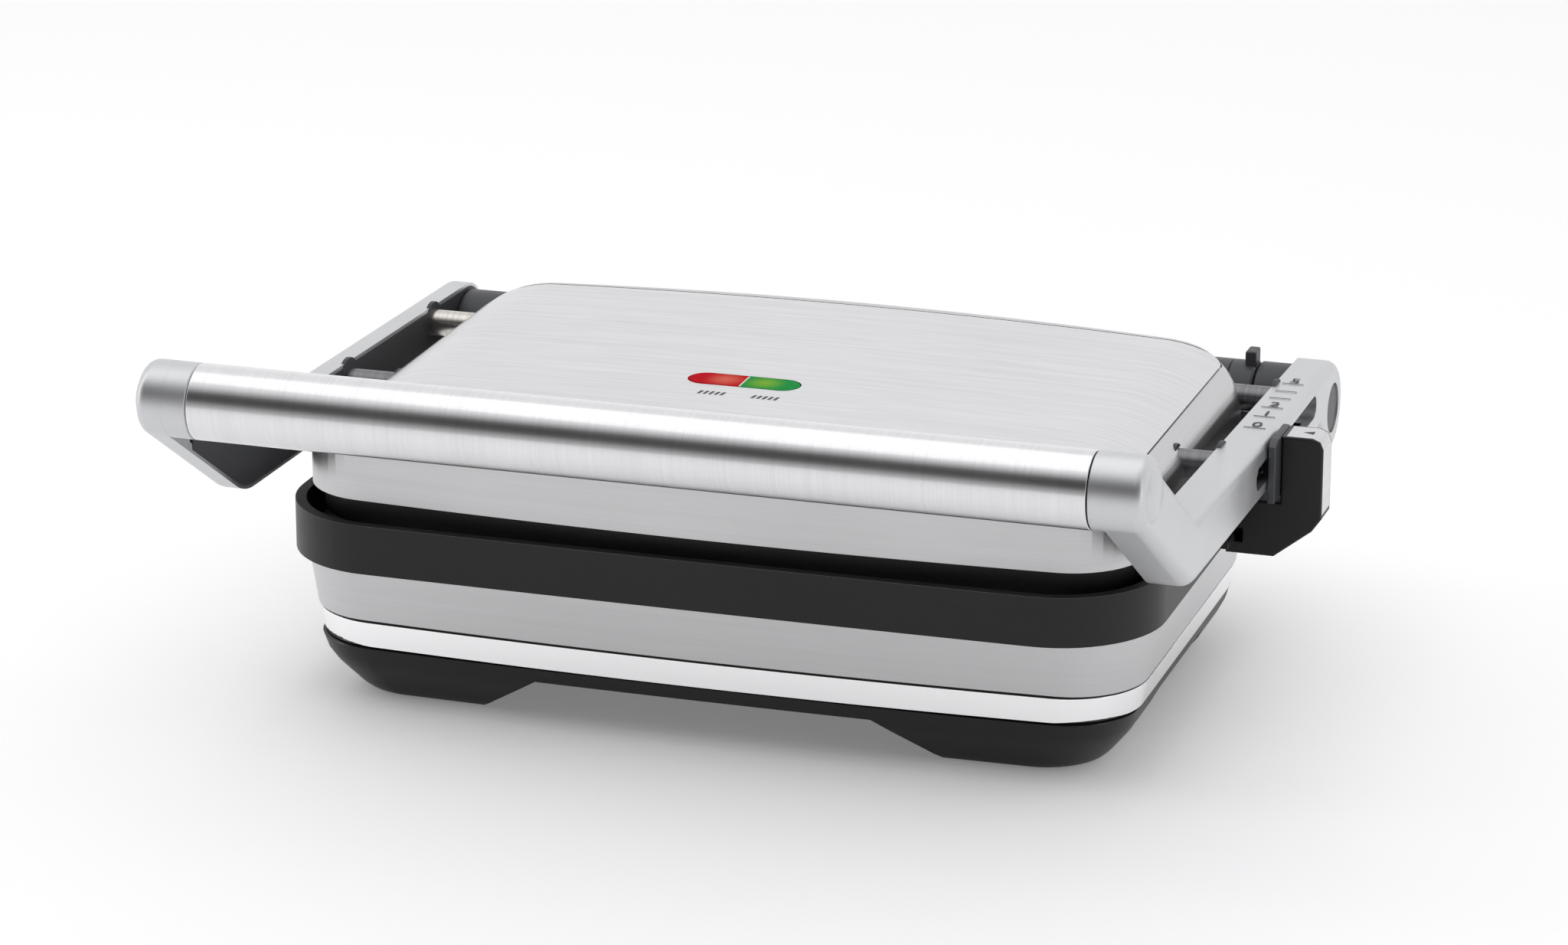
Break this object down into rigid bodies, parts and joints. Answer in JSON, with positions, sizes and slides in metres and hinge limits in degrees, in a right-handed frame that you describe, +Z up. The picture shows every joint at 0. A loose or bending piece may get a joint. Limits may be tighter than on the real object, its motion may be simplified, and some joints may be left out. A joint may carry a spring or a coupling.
{
  "type": "panini press",
  "caption": "Closed contact grill: rounded steel body on a black base, floating lid with ribbed plates, high tube handle on V-shaped arms, and a height slider on the right arm.",
  "frame": {"origin": "on the table top under the middle of the whole press, handle and slider included", "axes": "+X to the user's right, -Y towards the user (the handle side), +Z up"},
  "size_m": [0.3755, 0.3065, 0.1439],
  "materials": {
    "black_base": "moulded black plastic, fine grain",
    "foot_rubber": "soft black rubber",
    "polished_steel": "bright polished stainless strip",
    "satin_steel": "fine satin stainless steel",
    "black_bezel": "black heat-resistant plastic, satin",
    "grill_plate": "non-stick coated ribbed casting",
    "heater_sheath": "heat-blued sheath",
    "shield_sheet": "aluminised sheet",
    "ceramic": "off-white ceramic",
    "brass_part": "plain brass",
    "hinge_grey": "dark grey moulded hinge covers",
    "turned_steel": "turned steel",
    "dark_pin": "blackened steel",
    "cast_aluminium": "satin cast aluminium",
    "liner_plastic": "dark moulded cover",
    "brushed_tube": "polished and lightly brushed steel tube",
    "pivot_grey": "mid grey plastic",
    "brushed_panel": "steel brushed along its width",
    "red_lens": "translucent red",
    "green_lens": "translucent green",
    "lamp_glass": "small neon lamps",
    "trim_silver": "satin silver trim"
  },
  "bodies": {
    "base": {"base_tray": "black_base", "rubber_feet": "foot_rubber", "polished_band": "polished_steel", "satin_band": "satin_steel", "bezel_ring": "black_bezel", "lower_plate": "grill_plate", "lower_element": "heater_sheath", "lower_heat_shield": "shield_sheet", "lower_thermostat": "ceramic", "thermal_fuse": "brass_part", "terminal_block": "ceramic", "hinge_beam": "hinge_grey", "hinge_post_left": "hinge_grey", "hinge_post_right": "hinge_grey", "hinge_shaft_left": "turned_steel", "hinge_shaft_right": "turned_steel", "lock_catch": "black_bezel", "cord_gland": "black_base", "base_screws": "turned_steel"},
    "handle_frame": {"left_arm": "cast_aluminium", "right_arm": "cast_aluminium", "left_arm_liner": "liner_plastic", "right_arm_liner": "liner_plastic", "handle_tube": "brushed_tube", "handle_tie_rod": "turned_steel", "hinge_hub_left": "hinge_grey", "hinge_hub_right": "hinge_grey", "pivot_cap_left": "pivot_grey", "pivot_cap_right": "pivot_grey", "lid_pin_left": "dark_pin", "lid_pin_right": "dark_pin", "stop_pin_left": "turned_steel", "stop_pin_right": "dark_pin", "detent_strip": "turned_steel"},
    "lid": {"lid_shell": "satin_steel", "top_panel": "brushed_panel", "power_lens": "red_lens", "ready_lens": "green_lens", "lamp_holder": "ceramic", "lamps": "lamp_glass", "lid_skirt": "black_bezel", "upper_plate": "grill_plate", "upper_element": "heater_sheath", "upper_heat_shield": "shield_sheet", "upper_thermostat": "ceramic", "lid_bush_left": "liner_plastic", "lid_bush_right": "liner_plastic", "lid_screws": "turned_steel"},
    "height_slider": {"slider_block": "black_base", "slider_trim": "trim_silver", "slider_guide": "hinge_grey", "slider_screw": "turned_steel", "detent_spring": "turned_steel"}
  },
  "joints": [
    {"name": "handle_hinge", "type": "hinge", "parent": "base", "child": "handle_frame", "pos_m": [-0.0082, 0.1359, 0.078], "axis": [-1, 0, 0], "range_deg": [0, 100]},
    {"name": "lid_tilt", "type": "hinge", "parent": "handle_frame", "child": "lid", "pos_m": [-0.0082, 0.0144, 0.0915], "axis": [-1, 0, 0], "range_deg": [-2.5, 2.5]},
    {"name": "height_slide", "type": "slide", "parent": "handle_frame", "child": "height_slider", "axis": [0, 1, 0], "range_m": [-0.006, 0.06]}
  ]
}
